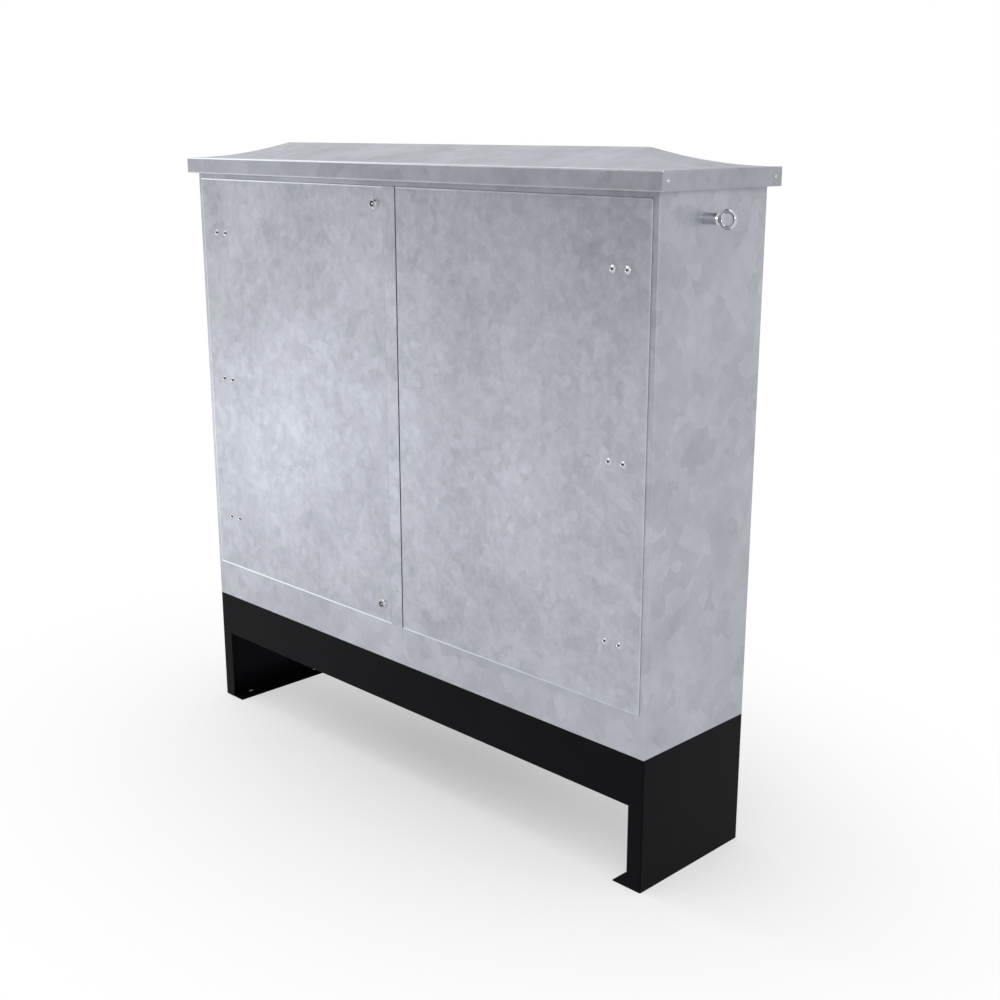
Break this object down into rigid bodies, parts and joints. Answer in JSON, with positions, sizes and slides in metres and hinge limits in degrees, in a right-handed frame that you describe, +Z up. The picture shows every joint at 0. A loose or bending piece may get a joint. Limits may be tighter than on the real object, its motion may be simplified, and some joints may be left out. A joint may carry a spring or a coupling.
{
  "type": "feeder pillar",
  "caption": "Wide galvanised street cabinet on a black root: overlapping double doors, concealed swan-neck hinges, quarter-turn locks and a shallow hipped canopy.",
  "frame": {"origin": "on the ground, under the middle of the cabinet", "axes": "+X to the right along the front, +Y to the back, +Z up; the doors face -Y"},
  "size_m": [2.192, 0.5, 2],
  "materials": {
    "black_paint": "satin black paint",
    "galvanised_sheet": "galvanised, spangled",
    "zinc_plated_steel": "bright zinc plate",
    "chrome": "polished",
    "rubber": "matt",
    "plywood": "sanded, unfinished",
    "brass": "plain",
    "copper": "plain copper, slightly dulled",
    "moulded_resin": "brown resin",
    "moulded_plastic": "black, moulded",
    "ceramic": "off-white body, silvery blades"
  },
  "bodies": {
    "cabinet": {"root_side_left": "black_paint", "root_side_right": "black_paint", "root_front_beam": "black_paint", "root_rear_beam": "black_paint", "body_side_left": "galvanised_sheet", "body_side_right": "galvanised_sheet", "back_panel": "galvanised_sheet", "head_rail": "galvanised_sheet", "sill_rail": "galvanised_sheet", "centre_post": "galvanised_sheet", "base_plate": "galvanised_sheet", "gland_plate_left": "galvanised_sheet", "gland_plate_right": "galvanised_sheet", "canopy": "galvanised_sheet", "canopy_bearers": "galvanised_sheet", "backboard_rails": "galvanised_sheet", "cable_clamp_rail": "galvanised_sheet", "hinge_lugs_left": "galvanised_sheet", "hinge_lugs_right": "galvanised_sheet", "root_bolts": "zinc_plated_steel", "root_nuts": "zinc_plated_steel", "back_panel_screws": "zinc_plated_steel", "gland_plate_screws": "zinc_plated_steel", "switchgear_bolts": "zinc_plated_steel", "canopy_bearer_bolts": "zinc_plated_steel", "canopy_corner_screws": "zinc_plated_steel", "backboard_screws": "zinc_plated_steel", "lifting_eye_nuts": "zinc_plated_steel", "hinge_pins_left": "zinc_plated_steel", "hinge_pins_right": "zinc_plated_steel", "lifting_eye_left": "chrome", "lifting_eye_right": "chrome", "seal_left": "rubber", "seal_right": "rubber", "backboard": "plywood", "earth_stud": "brass", "phase_bars": "copper", "neutral_bar": "copper", "earth_bar": "copper", "bar_insulators": "moulded_resin", "fuse_rails": "moulded_plastic", "fuse_links": "ceramic"},
    "door_left": {"door_left": "galvanised_sheet", "door_left_meeting_strip": "galvanised_sheet", "door_left_stiffeners": "galvanised_sheet", "hinge_arms_left": "galvanised_sheet", "hinge_bolts_left": "chrome", "hinge_nuts_left": "zinc_plated_steel", "lock_housings": "chrome", "lock_nuts": "zinc_plated_steel"},
    "door_right": {"door_right": "galvanised_sheet", "door_right_stiffeners": "galvanised_sheet", "hinge_arms_right": "galvanised_sheet", "hinge_bolts_right": "chrome", "hinge_nuts_right": "zinc_plated_steel", "shoot_bolt_guides": "galvanised_sheet"},
    "lock_top": {"lock_cam_top": "chrome"},
    "lock_bottom": {"lock_cam_bottom": "chrome"},
    "shoot_top": {"shoot_bolt_top": "zinc_plated_steel"},
    "shoot_bottom": {"shoot_bolt_bottom": "zinc_plated_steel"}
  },
  "joints": [
    {"name": "door_left_hinge", "type": "hinge", "parent": "cabinet", "child": "door_left", "pos_m": [-0.991, -0.205, 1.204], "axis": [0, 0, -1], "range_deg": [0, 95]},
    {"name": "door_right_hinge", "type": "hinge", "parent": "cabinet", "child": "door_right", "pos_m": [0.991, -0.205, 1.204], "axis": [0, 0, 1], "range_deg": [0, 95]},
    {"name": "lock_top_turn", "type": "hinge", "parent": "door_left", "child": "lock_top", "pos_m": [-0.073, -0.228, 1.832], "axis": [0, 1, 0], "range_deg": [0, 90]},
    {"name": "lock_bottom_turn", "type": "hinge", "parent": "door_left", "child": "lock_bottom", "pos_m": [-0.073, -0.228, 0.584], "axis": [0, -1, 0], "range_deg": [0, 90]},
    {"name": "shoot_top_slide", "type": "slide", "parent": "door_right", "child": "shoot_top", "axis": [0, 0, 1], "range_m": [0, 0.025]},
    {"name": "shoot_bottom_slide", "type": "slide", "parent": "door_right", "child": "shoot_bottom", "axis": [0, 0, -1], "range_m": [0, 0.025]}
  ]
}
